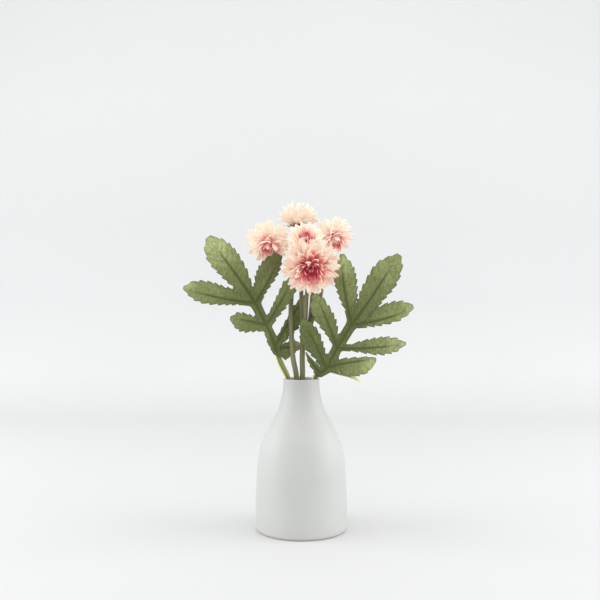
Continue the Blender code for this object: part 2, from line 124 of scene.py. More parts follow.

# Blooms: heart is the core's centre, facing its axis, close_by how far shut in degrees,
# colours from a petal's root to its tip, the glow as painted light: emission in the petal's own
# colour that stands in for light through the thin cloth, twig the route of its stem up to its cup
# The small blooms are given paler colours than the front bloom, partly as painted light that makes up for
# the shade they stand in.
BLOOMS = {
    "bloom_front": dict(
        heart=(7.2, -27, 215), facing=(-0.01, -0.90, -0.43), radius=24,
        close_by=0, dome=0, seed=11, painted_glow=0.04,
        colours=("#dc4c6c", "#ee7a88", "#ef9c8c", "#fcf2e0"),
        twig=((1.2, 0, 153), (3.4, -2.4, 174), (4.4, -4.5, 192), (6.6, -11, 209)),
    ),
    "bloom_left": dict(
        heart=(-27.2, 4, 236.8), facing=(0.10, -0.66, -0.74), radius=20,
        close_by=0, dome=0.1, seed=12, painted_glow=0.11,
        colours=("#d45070", "#f6a89c", "#faddce", "#fbf0e2"),
        twig=((-8.7, 2, 180), (-7.5, 12, 212), (-11.5, 18, 225), (-21, 17, 239)),
    ),
    "bloom_top": dict(
        heart=(-2.8, 17, 252.8), facing=(0.12, 0.08, 0.98), radius=20,
        close_by=42, dome=0.7, seed=43, painted_glow=0.05,
        colours=("#ee6c50", "#ffa884", "#ffd2b4", "#fff4e6"),
        twig=((1.2, 0, 154), (0.2, 3, 178), (-0.4, 8, 205), (-3, 13.5, 229)),
    ),
    "bloom_right": dict(
        heart=(26.8, 12, 242.2), facing=(0.20, -0.66, -0.72), radius=18,
        close_by=0, dome=0.1, seed=14, painted_glow=0.11,
        colours=("#d45070", "#f6aca0", "#fadfd0", "#fbf1e4"),
        twig=(
            (1.2, 0, 151), (8.5, 0, 170), (15.6, 0, 191),
            (18.5, 11, 211), (21.5, 24.5, 232), (23, 23.5, 245),
        ),
    ),
    "bloom_middle": dict(
        heart=(3.4, -7, 234.2), facing=(-0.03, -0.88, 0.47), radius=18,
        close_by=4, dome=0.1, seed=15, painted_glow=0.11,
        colours=("#d25a78", "#f6bcb0", "#fadfd0", "#fbefdf"),
        twig=((1.2, 0, 152), (7, 1, 172), (9, 2.5, 199), (6.4, 4.5, 218.5)),
    ),
}
UPRIGHT_LIMIT = 0.3
# Small blooms have fewer and wider petals
SMALL_BLOOM_RADIUS = 22.0
SMALL_BLOOM_FEWER = 4
SMALL_BLOOM_WIDER = 1.22

# Petal layers from the lowest up: count, rise in degrees, share of the radius
LAYERS = (
    (12, -36, 0.90), (14, -24, 0.97), (15, -12, 1.00), (15, 0, 1.01), (15, 12, 1.00), (14, 24, 0.97),
    (13, 36, 0.92), (11, 48, 0.84), (9, 60, 0.72), (7, 72, 0.58),
)
# The same for the small curled petals in the open heart
CURLS = (5, 46, 0.36)
RINGS = (*LAYERS, CURLS)
FEWEST_PETALS = 5

# How far the draws of a petal's turn, length, width and rise stray, the rise more at the heart
TURN_SPREAD = 0.16
LENGTH_SPREAD = (0.92, 1.05)
WIDTH_SPREAD = (0.9, 1.1)
RISE_SPREAD = 5
INNER_RISE_SPREAD = 9
# Bends of the lowest petals, what the heart's have on top, and how far the draws stray
OUTER_CUP = 0.75
INNER_CUP = 0.6
CUP_SPREAD = 0.15
OUTER_CURL = 0.05
INNER_CURL = 0.35
CURL_SPREAD = 0.2
TWIST_SPREAD = 0.3
CURLED = 1.3
# How much further the pink reaches along a petal than at the middle of the layers
OUTER_BLUSH = -0.26
INNER_BLUSH = 0.64
BLUSH_POWER = 1.3
CURLED_BLUSH = -0.13
BLUSH_SPREAD = 0.13

# Shape of a petal: its net, its widths as shares, its cupping, its curl and its notched tip
PETAL_ROWS = 12
PETAL_COLUMNS = 6
PETAL_THICKNESS = 0.3
PETAL_WIDTH_SHARE = 0.32
SHORTEST_WIDE_PETAL = 13.0
INNER_NARROWER = 0.25
WIDEST_AT = 0.58
ROOT_WIDTH = 0.34
TIP_NARROWS = 0.66
SWELL_POWER = 1.4
TAPER_POWER = 2.2
ROOT_CUP = 1.15
CUP_OPENS = 0.55
CURL_POWER = 1.6
TIP_POWER = 5
TIP_ROUND = 0.10
TIP_NOTCH = 0.05
NOTCH_STEEP = 2.5

# Core of a bloom, and where petals are fixed on it as shares of its size
CORE_RADIUS = 4.6
CORE_HALF_HEIGHT = 3.4
CORE_ROWS = 9
CORE_POLE = 0.08
ROOT_RISE_SHARE = 0.4
ROOT_OUT_SHARE = 0.95
CURL_ROOT_SPREAD = (0, 0.7)
STEEP_FROM = 35
ROOT_DROP_SHARE = 0.9

# Petals that would reach a neighbouring bloom are made smaller, then pressed up in degrees
DOME_SHARE = 0.3
NEIGHBOUR_GAP = 0.3
MOST_SQUEEZED = 3
SQUEEZE_SHARE = 0.93
PRESSED_STEP = 5
STEEPEST_PETAL = 80

# Petal cloth: where its colours stand along it, its grooves and how far light goes in it
PETAL_STOPS = (0.14, 0.34, 0.52, 0.70)
PETAL_GROOVES = 11.0
SUBSURFACE_RADIUS = (1, 0.85, 0.75)

# Leaf colours from the foot of a lobe to its tip, and the marks over them: layer, strength, colour
LEAF_GREENS = ((0, "#69753f"), (0.3, "#7e884e"), (0.65, "#9aa468"), (1, "#c1ca8c"))
LEAF_MARKS = (("vein", 0.35, "#525c26"), ("rib", 1, "#435016"), ("edge", 0.75, "#3c4a38"))

# Leaf cloth: the net's cell and margin, thickness, the web between lobes and how their depths blend
CLOTH_CELL = 0.6
NET_MARGIN = 14
CLOTH_THICKNESS = 0.4
WEB = 0.6
BLEND_WIDTH = 2.5
BLEND_REACH = 40
EDGE_WIDTH = 0.6
BEHIND_BASE = 1.0
# Relief of a lobe: its keel, its wave, its rib and its veins, with how steeply the last two fade
KEEL = 0.16
WAVE_DEPTH = 0.35
WAVE_LENGTH = 7
WAVE_OUT = 8
DEPTH_PAST_ENDS = 0.1
RIB_RISE = 0.55
RIB_HALF_WIDTH = 1.5
RIB_THINNEST = 0.35
RIB_FROM = -0.02
RIB_REACH = 0.88
RIB_TIP_STEEP = 4
MIDRIB_HALF_WIDTH = 1.3
VEIN_RISE = 0.12
VEIN_SLANT = 1.1
VEIN_HALF_WIDTH = 0.5
VEIN_FOOT_STEEP = 3
VEIN_TIP_STEEP = 6
# Teeth of the cut edge, which start and end at shares of the length and are a little uneven
OUTLINE_STEPS = 81
OUTLINE_BLUR = 3
TOOTH_DEPTH = 1.7
TOOTH_POWER = 1.4
LEAST_TOOTH = 0.3
FULL_TOOTH_WIDTH = 6.0
FIRST_TOOTH = 0.2
LAST_TOOTH = 1.02
TOOTH_UNEVEN = 0.018
UNEVEN_WAVES = 9
LEFT_SHIFT = 2.0
LOBE_PHASE = 1.7
# Share of the length from which one lobe's tip turns brown and darker: a brown tint with painted shade from
# the bloom above it
BROWN_AND_SHADE_FROM = 0.35
BROWN_AND_SHADE_STEEP = 2
# Round rod of cloth behind the middle rib
ROD_BEHIND = 1.1
ROD_RADII = (1.5, 1.5, 1.1)
ROD_SHADE = 0.4

# Middle ribs and lobes; each side of a lobe is (share of the length, millimetres out)
LEFT_RIB = ((-19.9, -4.2, 145.2), (-22.3, -4, 154.4), (-28.9, -5, 167.6), (-37.8, -6, 185.6))
RIGHT_RIB = ((15.6, -3.8, 128), (22.3, -4.1, 133.4), (29.2, -5, 148.8), (41.2, -6, 168))
# How far each lobe pales to its tip is set lobe by lobe; lobes lying in shade under the blooms pale less,
# which is painted shade.
LEFT_LOBES = (
    dict(base=LEFT_RIB[3], tip=(-75, -20, 238), bow=3, bend=-1.2, teeth=8, fade=1.15,
         left=((0, 3), (0.25, 6.6), (0.44, 9.4), (0.68, 11.6), (0.8, 11.2), (0.9, 8.8), (0.96, 5), (1, 1)),
         right=((0, 4), (0.25, 8.4), (0.38, 11.1), (0.49, 12.3), (0.64, 13.1), (0.76, 12.4),
                (0.87, 10), (0.96, 6), (1, 2))),
    dict(base=LEFT_RIB[3], tip=(-97, -2, 198), bow=3, bend=1.8, teeth=8, fade=0.8,
         left=((0, 3), (0.18, 4.2), (0.31, 6.4), (0.5, 8.6), (0.67, 9.9), (0.82, 8.8), (0.93, 5), (1, 0.6)),
         right=((0, 3), (0.18, 7), (0.27, 8.6), (0.43, 8.4), (0.62, 10.2), (0.78, 9.6),
                (0.9, 7.4), (1, 1))),
    dict(base=LEFT_RIB[2], tip=(-59, 4, 173), bow=1.5, bend=-0.6, teeth=5, fade=0.5,
         left=((0, 5), (0.3, 8), (0.5, 9.8), (0.68, 9.9), (0.86, 7), (1, 1)),
         right=((0, 4), (0.3, 5.8), (0.56, 7), (0.82, 6.8), (1, 1.2))),
    # This lobe's tip is browned and darkened: a brown tint with painted shade from the front bloom above
    # it.
    dict(base=LEFT_RIB[3], tip=(-17.4, -18.5, 224.4), bow=1, bend=-1.4, teeth=7, brown=1, fade=0.55,
         left=((0, 3), (0.2, 6.6), (0.45, 10.7), (0.62, 11.4), (0.78, 10.2), (0.9, 7.6), (1, 4.4)),
         right=((0, 4), (0.27, 4.7), (0.53, 6.4), (0.73, 6.8), (0.88, 5.4), (1, 2.4))),
    dict(base=LEFT_RIB[2], tip=(-7, -15, 205), bow=1, bend=-0.8, teeth=6, fade=0.4,
         left=((0, 2), (0.2, 3.2), (0.48, 4.2), (0.68, 5), (0.86, 6.2), (1, 3)),
         right=((0, 4.2), (0.25, 6), (0.48, 7.8), (0.68, 8.3), (0.86, 7.8), (1, 3))),
    dict(base=(-20.8, -4, 151.5), tip=(3.8, 11, 191.5), bow=-1, bend=0.6, teeth=6, fade=0.6,
         left=((0, 1.6), (0.28, 3.6), (0.5, 4.2), (0.7, 5), (0.88, 3.6), (1, 1.4)),
         right=((0, 3), (0.18, 6), (0.32, 8.2), (0.44, 9.6), (0.62, 9.2), (0.85, 6), (1, 2.2))),
    dict(base=(-20.8, -4.2, 146), tip=(-28.6, -5, 167), bow=0, bend=0, teeth=3,
         left=((0, 2.6), (0.3, 4.6), (0.7, 4), (1, 1)),
         right=((0, 2.6), (0.3, 3), (1, 2))),
    dict(base=(-20.8, -4, 148.6), tip=(-0.6, 8.5, 149.4), bow=-0.4, bend=0, teeth=4,
         apart=True, fade=0.9,
         left=((0, 2.4), (0.2, 3.2), (0.5, 5.2), (0.76, 6.6), (0.9, 4.8), (1, 2)),
         right=((0, 3.2), (0.12, 8), (0.3, 10.2), (0.42, 11.4), (0.5, 10), (0.6, 6.6), (0.8, 5.4), (1, 2))),
)
RIGHT_LOBES = (
    dict(base=RIGHT_RIB[3], tip=(32, -13.5, 225), bow=2, bend=1.6, teeth=8, fade=0.86,
         left=((0, 3), (0.2, 4), (0.33, 6.7), (0.52, 8.7), (0.66, 10.2), (0.78, 8.4), (0.9, 4.6), (1, 0.8)),
         right=((0, 3), (0.28, 7), (0.46, 9.3), (0.63, 10.2), (0.78, 9.6), (0.9, 6.6), (1, 2.2))),
    dict(base=RIGHT_RIB[3], tip=(78, -16, 225), bow=3, bend=-1, teeth=8, fade=0.8,
         left=((0, 3.4), (0.26, 7), (0.41, 10.4), (0.55, 11.2), (0.66, 12), (0.79, 11.2),
               (0.9, 7), (1, 0.6)),
         right=((0, 4.4), (0.2, 8.2), (0.3, 9.8), (0.38, 10.8), (0.5, 11.6), (0.63, 13.2), (0.76, 12.3),
                (0.87, 10), (0.95, 7), (1, 2.6))),
    dict(base=RIGHT_RIB[3], tip=(93, 4, 182), bow=2, bend=-2.6, teeth=6, apart=True, fade=0.85,
         left=((0, 3), (0.3, 7.4), (0.5, 9.5), (0.7, 9.9), (0.82, 8.9), (0.93, 6.1), (1, 1.8)),
         right=((0, 3.4), (0.14, 5.2), (0.35, 7.5), (0.54, 8.4), (0.74, 8.2), (0.9, 5), (1, 0.8))),
    dict(base=RIGHT_RIB[2], tip=(87, 7, 152), bow=2, bend=-1.6, teeth=7, fade=0.9,
         left=((0, 2.2), (0.2, 2.6), (0.36, 5.2), (0.52, 6.6), (0.7, 7.4), (0.86, 5.8), (1, 0.8)),
         right=((0, 2.2), (0.14, 3.2), (0.28, 4.9), (0.46, 7.6), (0.65, 9.2), (0.86, 7.4), (1, 1))),
    dict(base=(22.8, -4, 133.6), tip=(62, 5, 139), bow=1.5, bend=0.8, teeth=4,
         left=((0, 5.6), (0.24, 5.8), (0.5, 5), (0.88, 3.2), (1, 1.2)),
         right=((0, 3.2), (0.12, 5.6), (0.25, 9), (0.43, 11.8), (0.68, 12), (0.87, 9), (1, 1.4))),
    dict(base=RIGHT_RIB[2], tip=(11, -10, 193), bow=1, bend=-1, teeth=6, fade=0.7,
         left=((0, 1.4), (0.28, 4.6), (0.47, 7.4), (0.64, 9.2), (0.84, 8.6), (1, 3)),
         right=((0, 3), (0.24, 6.5), (0.45, 8.7), (0.64, 8.1), (0.86, 6.2), (1, 2))),
    dict(base=(20, -4, 134), tip=(0, -11, 172), bow=1, bend=-1, teeth=6, fade=0.12,
         left=((0, 3.8), (0.28, 6.6), (0.5, 9.4), (0.66, 9.6), (0.84, 5.8), (1, 1.6)),
         right=((0, 4), (0.22, 5.8), (0.45, 7.8), (0.64, 8.9), (0.86, 7.2), (1, 2.6))),
    dict(base=(15.8, -3.4, 128.4), tip=(4, -8, 146), bow=0.5, bend=1, teeth=3, apart=True, fade=0.3,
         left=((0, 3.4), (0.12, 4.7), (0.45, 4.7), (0.74, 3.4), (1, 1)),
         right=((0, 3.2), (0.26, 2.6), (0.6, 1.1), (0.87, -0.4), (1, -0.7))),
)
LEFT_WEB = (2.8, 3.6, 3.6, 4.4)
RIGHT_WEB = (3.4, 5, 4.2, 4.4)

# Leaf stalks from inside the vase up to each leaf, each as its route and its radii, and the spike
STALKS = {
    "left": (
        (
            (-5.1, 0, 76), (-6.9, -1, 96), (-9.5, -2.2, 114), (-10.5, -2.4, 122),
            (-13.1, -3, 128.5), (-16.6, -2, 135), (-18.9, 0.4, 140.5), (-20.2, 0.5, 144.4),
        ),
        (1.7, 1.7, 1.7, 1.7, 2, 2.1, 1.9, 1.1),
    ),
    "right": (
        (
            (3.6, 0, 76), (5.2, 0, 96), (9.2, 0, 114), (10.7, 0, 122),
            (12.9, 0.5, 126.5), (17, 0.5, 129.6), (21, 0.3, 133.6),
        ),
        (1.7, 1.7, 1.7, 1.7, 1.9, 1.7, 1.1),
    ),
}
SPIKE = (
    (18, 0, 130.4), (25, 0.8, 128.6), (33, 2.4, 126.6), (41.7, 3.4, 124.8), (49.6, 3.4, 119.6),
)
SPIKE_RADII = (0.7, 0.7, 1, 1.8, 0.4)
SPIKE_PALE_POWER = 3
# Section of a leaf stalk: how much wider than thick it is, its groove with the width of its painted shade,
# and its painted highlight along one edge
STALK_WIDER = 1.25
GROOVE_TURN = 1.75
GROOVE_WIDTH = 0.5
GROOVE_DEPTH = 0.55
GROOVE_SHADE_WIDTH = 0.45
HIGHLIGHT_TURN = 2.7
HIGHLIGHT_WIDTH = 0.5


def linear(code):
    """Linear red, green, blue and alpha of an sRGB colour such as #a0b1c2."""
    parts = [int(code[i : i + 2], 16) / 255 for i in (1, 3, 5)]
    return (*[c / 12.92 if c <= 0.04045 else ((c + 0.055) / 1.055) ** 2.4 for c in parts], 1.0)


class Finish:
    """A Principled material, with short ways to add nodes to it."""

    def __init__(self, name, roughness, **values):
        self.material = bpy.data.materials.new(name)
        self.material.use_nodes = True
        self.tree = self.material.node_tree
        self.shader = self.tree.nodes["Principled BSDF"]
        self.feed(self.shader, Roughness=roughness, **values)
        self.place = self.node("ShaderNodeTexCoord").outputs["Object"]

    def node(self, kind, **settings):
        node = self.tree.nodes.new(kind)
        for key, value in settings.items():
            setattr(node, key, value)
        return node

    def join(self, value, socket):
        """Link a node's output to a socket, or give it a number or a colour."""
        if isinstance(value, bpy.types.NodeSocket):
            self.tree.links.new(value, socket)
        elif isinstance(value, str):
            socket.default_value = linear(value)
        else:
            socket.default_value = value

    def feed(self, node, **values):
        """Join values to the inputs of a node by name."""
        for key, value in values.items():
            self.join(value, node.inputs[key.replace("_", " ")])

    def calc(self, operation, first, second=0.0, clamp=False):
        node = self.node("ShaderNodeMath", operation=operation, use_clamp=clamp)
        self.join(first, node.inputs[0])
        self.join(second, node.inputs[1])
        return node.outputs[0]

    def layer(self, name, strength=1.0):
        """A layer of values that the mesh carries, times a strength."""
        values = self.node("ShaderNodeAttribute", attribute_name=name).outputs["Fac"]
        return self.calc("MULTIPLY", values, strength)

    def height(self):
        """Height over the floor in metres."""
        node = self.node("ShaderNodeSeparateXYZ")
        self.join(self.place, node.inputs[0])
        return node.outputs["Z"]

    def mix(self, share, first, second, blend="MIX"):
        node = self.node("ShaderNodeMix", data_type="RGBA", blend_type=blend)
        for value, number in ((share, 0), (first, 6), (second, 7)):
            self.join(value, node.inputs[number])
        return node.outputs[2]

    def ramp(self, value, stops):
        """Colours over a value, each stop as (value, colour)."""
        node = self.node("ShaderNodeValToRGB")
        elements = node.color_ramp.elements
        while len(elements) < len(stops):
            elements.new(0.5)
        for element, (at, code) in zip(elements, stops):
            element.position = at
            element.color = linear(code)
        self.join(value, node.inputs[0])
        return node.outputs[0]

    def noise(self, scale, stretch=(1, 1, 1), turn=(0, 0, 0), detail=3.0):
        """Noise over the object, scale in features per metre."""
        mapping = self.node("ShaderNodeMapping")
        self.feed(mapping, Rotation=turn, Scale=stretch, Vector=self.place)
        node = self.node("ShaderNodeTexNoise")
        self.feed(node, Scale=scale, Detail=detail, Vector=mapping.outputs[0])
        return node.outputs["Fac"]

    def patches(self, scale, detail, strength):
        """Noise that goes as far below 0 as above it."""
        centred = self.calc("SUBTRACT", self.noise(scale, detail=detail), 0.5)
        return self.calc("MULTIPLY", centred, strength)

    def bump(self, height, strength, distance):
        node = self.node("ShaderNodeBump")
        self.feed(node, Strength=strength, Distance=distance, Height=height)
        self.feed(self.shader, Normal=node.outputs[0])

    def colour(self, value):
        self.feed(self.shader, Base_Color=value)


def vase_finish():
    """Matte white glaze, with small specks, painted shade up the neck, and a bare foot ring."""
    look = Finish("vase_glaze", 0.5)
    tone = look.ramp(look.noise(18), ((0.3, "#c2c3c1"), (0.7, "#c8c9c7")))
    speck = look.calc("GREATER_THAN", look.noise(900, detail=2.0), SPECK_LIMIT)
    tone = look.mix(speck, tone, "#cfcdc8")
    # Painted shade: the neck is greyed towards the mouth, where it lies under the leaves and blooms.
    neck_shade = look.ramp(look.height(), ((NECK_SHADE_FROM, BLACK), (NECK_SHADE_TO, WHITE)))
    tone = look.mix(neck_shade, tone, "#b7b8b6")
    bare = look.calc("SUBTRACT", 1.0, look.layer("glaze"), clamp=True)
    look.colour(look.mix(bare, tone, "#c9bda9"))
    look.bump(look.noise(420, detail=4.0), strength=0.12, distance=0.0003)
    return look.material


def stem_finish():
    """Green-brown plastic covers, worn in streaks, with greener cups and sepals."""
    look = Finish("stem_plastic", 0.55)
    tone = look.ramp(look.noise(26), ((0.38, "#5c6036"), (0.62, "#736e4a")))
    streak = look.noise(260, stretch=(1, 1, 0.07), detail=4.0)
    tone = look.mix(look.ramp(streak, ((0.35, BLACK), (0.7, WHITE))), tone, "#807c58")
    look.colour(look.mix(look.layer("green"), tone, "#5f6b34"))
    look.bump(streak, strength=0.4, distance=0.0004)
    return look.material


def stalk_finish():
    """Yellow-green moulded plastic, with painted shade in the groove and a painted highlight along one
    edge.
    """
    look = Finish("stalk_plastic", 0.38)
    tone = look.ramp(look.noise(60), ((0.35, "#7e7f3a"), (0.65, "#949450")))
    # Painted highlight along one edge of each stalk; on the spike the same layer makes its tip paler.
    tone = look.mix(look.layer("pale"), tone, "#ecf0a4")
    # Painted shade: the groove is darkened.
    look.colour(look.mix(look.layer("groove"), tone, "#5c5e2c"))
    look.bump(look.noise(700), strength=0.15, distance=0.0003)
    return look.material


def leaf_finish():
    """Woven green cloth, paler to the tips but less on lobes given painted shade, one tip browned and given
    painted shade, dark ribs, faint veins and dark cut edges.
    """
    look = Finish("leaf_cloth", 0.8, Sheen_Weight=0.15)
    warp = look.noise(1250, stretch=(1.0, 1.0, 0.16), turn=(0, 0.5, 0), detail=2.0)
    weft = look.noise(1250, stretch=(0.16, 1.0, 1.0), turn=(0, 0.5, 0), detail=2.0)
    thread = look.calc("ADD", look.calc("MULTIPLY", warp, 0.6), look.calc("MULTIPLY", weft, 0.4))
    patches = look.patches(70, detail=5.0, strength=0.7)
    # Painted shade: lobes lying in shade pale less towards their tips.
    share = look.calc("ADD", look.layer("reach"), patches, clamp=True)
    tone = look.ramp(share, LEAF_GREENS)
    # Brown tint with painted shade on the tip of the lobe under the front bloom.
    tone = look.mix(look.layer("brown", 0.75), tone, "#5e5226")
    grain = look.ramp(thread, ((0.34, "#a2a49c"), (0.5, "#dadad6"), (0.64, WHITE)))
    tone = look.mix(0.85, tone, grain, "MULTIPLY")
    for mark, strength, code in LEAF_MARKS:
        tone = look.mix(look.layer(mark, strength), tone, code)
    look.colour(tone)
    look.bump(thread, strength=0.5, distance=0.0004)
    return look.material


def petal_finish(node):
    """Dyed cloth, pink at the root and cream to the tip, with fine grooves along it and a faint glow of
    painted light.
    """
    bloom = BLOOMS[node]
    codes = bloom["colours"]
    look = Finish(
        node + "_cloth", 0.75, Subsurface_Weight=0.12, Subsurface_Scale=0.003,
        Subsurface_Radius=SUBSURFACE_RADIUS, Emission_Strength=bloom["painted_glow"],
    )
    across = look.layer("across")
    along = look.calc("SUBTRACT", look.layer("along"), look.layer("blush"))
    along = look.calc("ADD", along, look.patches(160, detail=3.0, strength=0.16))
    tone = look.ramp(along, tuple(zip(PETAL_STOPS, codes)))
    outer = look.calc("MAXIMUM", along, 0.0, clamp=True)
    edge = look.calc("POWER", look.calc("ABSOLUTE", across), 3.0)
    for mark, strength, code in ((edge, 0.8, codes[3]), (look.layer("shade"), 0.4, codes[2])):
        share = look.calc("MULTIPLY", look.calc("MULTIPLY", mark, outer), strength)
        tone = look.mix(share, tone, code)
    look.colour(tone)
    # Painted light: the cloth glows in its own colour, standing in for light that comes through it.
    look.feed(look.shader, Emission_Color=tone)
    grooves = look.calc("SINE", look.calc("MULTIPLY", across, PETAL_GROOVES))
    look.bump(grooves, strength=0.15, distance=0.0004)
    return look.material


def core_finish():
    """Deep pink padding."""
    look = Finish("core_cloth", 0.8)
    patch = look.noise(300)
    look.colour(look.ramp(patch, ((0.35, "#8c1034"), (0.65, "#b83058"))))
    look.bump(patch, strength=0.5, distance=0.0006)
    return look.material


def put(name, data, place=(0, 0, 0), turn=(0, 0, 0)):
    """An object in the scene, its place in metres."""
    ob = bpy.data.objects.new(name, data)
    ob.location = place
    ob.rotation_euler = turn
    bpy.context.scene.collection.objects.link(ob)
    return ob


def smooth_mesh(name, points, faces, material):
    mesh = bpy.data.meshes.new(name)
    mesh.from_pydata((np.asarray(points) * MM).tolist(), [], faces)
    mesh.materials.append(material)
    mesh.shade_smooth()
    return mesh


def piece(name, points, faces, material, node=None, layers=None):
    """A mesh in the frame's place, riding on the one body."""
    mesh = smooth_mesh(name, points, faces, material)
    mesh.set_sharp_from_angle(angle=radians(SHARP_ANGLE))
    for layer, values in (layers or {}).items():
        mesh.attributes.new(layer, "FLOAT", "POINT").data.foreach_set("value", np.asarray(values, float))
    ob = put(name, mesh)
    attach(ob, "root")
    if node:
        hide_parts(node)


class Build:
    """Gathers the points, faces and layers of the parts of one piece."""

    def __init__(self):
        self.points, self.faces, self.layers = [], [], {}

    def add(self, points, faces, **layers):
        start = len(self.points)
        self.points.extend(np.asarray(points, float).reshape(-1, 3).tolist())
        self.faces.extend([tuple(start + k for k in face) for face in faces])
        count = len(self.points) - start
        for name in sorted(set(self.layers) | set(layers)):
            values = self.layers.setdefault(name, [0.0] * start)
            values.extend(np.broadcast_to(layers.get(name, 0.0), (count,)).tolist())

    def make(self, name, material, node):
        piece(name, self.points, self.faces, material, node, self.layers)


def smooth_route(points, per_span):
    """Points along a Catmull-Rom curve through the given ones."""
    pts = np.array(points, float)
    ends = np.vstack((2 * pts[0] - pts[1], pts, 2 * pts[-1] - pts[-2]))
    route = []
    for i in range(1, len(ends) - 2):
        before, start, stop, after = ends[i - 1 : i + 3]
        for k in range(per_span):
            t = k / per_span
            square = (2 * before - 5 * start + 4 * stop - after) * t**2
            cube = (3 * start - before - 3 * stop + after) * t**3
            route.append(0.5 * (2 * start + (stop - before) * t + square + cube))
    return np.array(route + [pts[-1]])


def ring_turns(sides):
    """The angles of the points of one ring."""
    return np.linspace(0, tau, sides, endpoint=False)


def ring_faces(rings, sides, capped=True):
    """Faces of a closed tube of rings, each with the same number of points."""
    faces = []
    for i in range(rings - 1):
        for k in range(sides):
            a, b = i * sides + k, i * sides + (k + 1) % sides
            faces.append((a, b, b + sides, a + sides))
    if capped:
        faces.append(tuple(reversed(range(sides))))
        faces.append(tuple(range((rings - 1) * sides, rings * sides)))
    return faces


def sweep(route, section):
    """Points of rings along a route; section(share) gives (side, front) pairs."""
    tangent = np.gradient(route, axis=0)
    tangent /= np.linalg.norm(tangent, axis=1)[:, None]
    front = np.array((0.0, -1.0, 0.0))
    rings = []
    for i, (place, along) in enumerate(zip(route, tangent)):
        front = front - along * (front @ along)
        front /= np.linalg.norm(front)
        side = np.cross(along, front)
        rings.append([place + side * a + front * b for a, b in section(i / (len(route) - 1))])
    return np.array(rings)


def tube(route, section, per_span):
    """Rings and faces of a closed tube along a smoothed route."""
    rings = sweep(smooth_route(route, per_span), section)
    return rings, ring_faces(len(rings), STEM_SIDES)


def fade_round(turn, middle, width):
    """1 at one place round a stalk, fading to 0 on both sides of it."""
    return exp(-((remainder(turn - middle, tau) / width) ** 2))


def stem_section(radii, ridge=0.0, wider=1.0, groove=0.0):
    """A stem whose radius runs through the given ones, with ridges or a groove in its front."""
    def section(share):
        radius = np.interp(share, np.linspace(0, 1, len(radii)), radii)
        points = []
        for turn in ring_turns(STEM_SIDES):
            dent = 1 - groove * fade_round(turn, GROOVE_TURN, GROOVE_WIDTH)
            out = radius * dent * (1 + ridge * cos(STEM_RIDGES * turn))
            points.append((wider * out * cos(turn), out * sin(turn)))
        return points
    return section


def make_vase():
    """One turned shell, from its inner floor over the rim to its foot."""
    inner = smooth_route(VASE_INNER, per_span=4)
    outer = smooth_route(VASE_OUTER, per_span=5)
    profile = np.vstack((inner, VASE_RIM, outer, VASE_FOOT))
    profile[:, 0] = np.maximum(profile[:, 0], 0.0)
    glaze = np.ones(len(profile))
    glaze[-len(VASE_FOOT) - BARE_ROWS :] = 0.0
    wall = slice(1, len(profile) - 1)
    turns = ring_turns(VASE_SIDES)
    rings = [[(r * cos(t), r * sin(t), z) for t in turns] for r, z in profile[wall]]
    points = np.vstack((np.reshape(rings, (-1, 3)), (0, 0, profile[0][1]), (0, 0, profile[-1][1])))
    faces = ring_faces(len(rings), VASE_SIDES, capped=False)
    floor, foot = len(points) - 2, len(points) - 1
    last = (len(rings) - 1) * VASE_SIDES
    for k in range(VASE_SIDES):
        after = (k + 1) % VASE_SIDES
        faces.append((floor, after, k))
        faces.append((foot, last + k, last + after))
    values = np.concatenate((np.repeat(glaze[wall], VASE_SIDES), (1.0, 0.0)))
    build = Build()
    build.add(points, [face[::-1] for face in faces], glaze=values)
    build.make("vase_shell", vase_finish(), "vase")


def bloom_frame(bloom):
    """The way a bloom faces, and two directions across it."""
    facing = Vector(bloom["facing"]).normalized()
    side = facing.cross(Vector((0, 0, 1)))
    if side.length < UPRIGHT_LIMIT:
        side = facing.cross(Vector((0, 1, 0)))
    side.normalize()
    up = facing.cross(side)
    return np.array(facing), np.array(side), np.array(up)


def slab_faces(rows, columns):
    """Faces of a thin closed slab: a front and a back net of points."""
    net = np.arange(rows * columns).reshape(rows, columns)
    faces = []
    for low, high in zip(net, net[1:]):
        for k in range(columns - 1):
            here, beside, across, above = low[k], low[k + 1], high[k + 1], high[k]
            faces.append((here, beside, across, above))
            faces.append([net.size + corner for corner in (here, above, across, beside)])
    edge = [*net[0], *net[1:, -1], *net[-1, -2::-1], *net[-2:0:-1, 0]]
    for here, after in zip(edge, edge[1:] + edge[:1]):
        faces.append((after, here, here + net.size, after + net.size))
    return np.array(faces).tolist()


def petal_width(share):
    """Half width along a petal, as a share of the widest."""
    swell = np.clip(share / WIDEST_AT, 0, 1)
    taper = np.clip((share - WIDEST_AT) / (1 - WIDEST_AT), 0, 1)
    root_side = ROOT_WIDTH + (1 - ROOT_WIDTH) * np.sin(swell * pi / 2) ** SWELL_POWER
    return root_side * (1 - TIP_NARROWS * taper**TAPER_POWER)


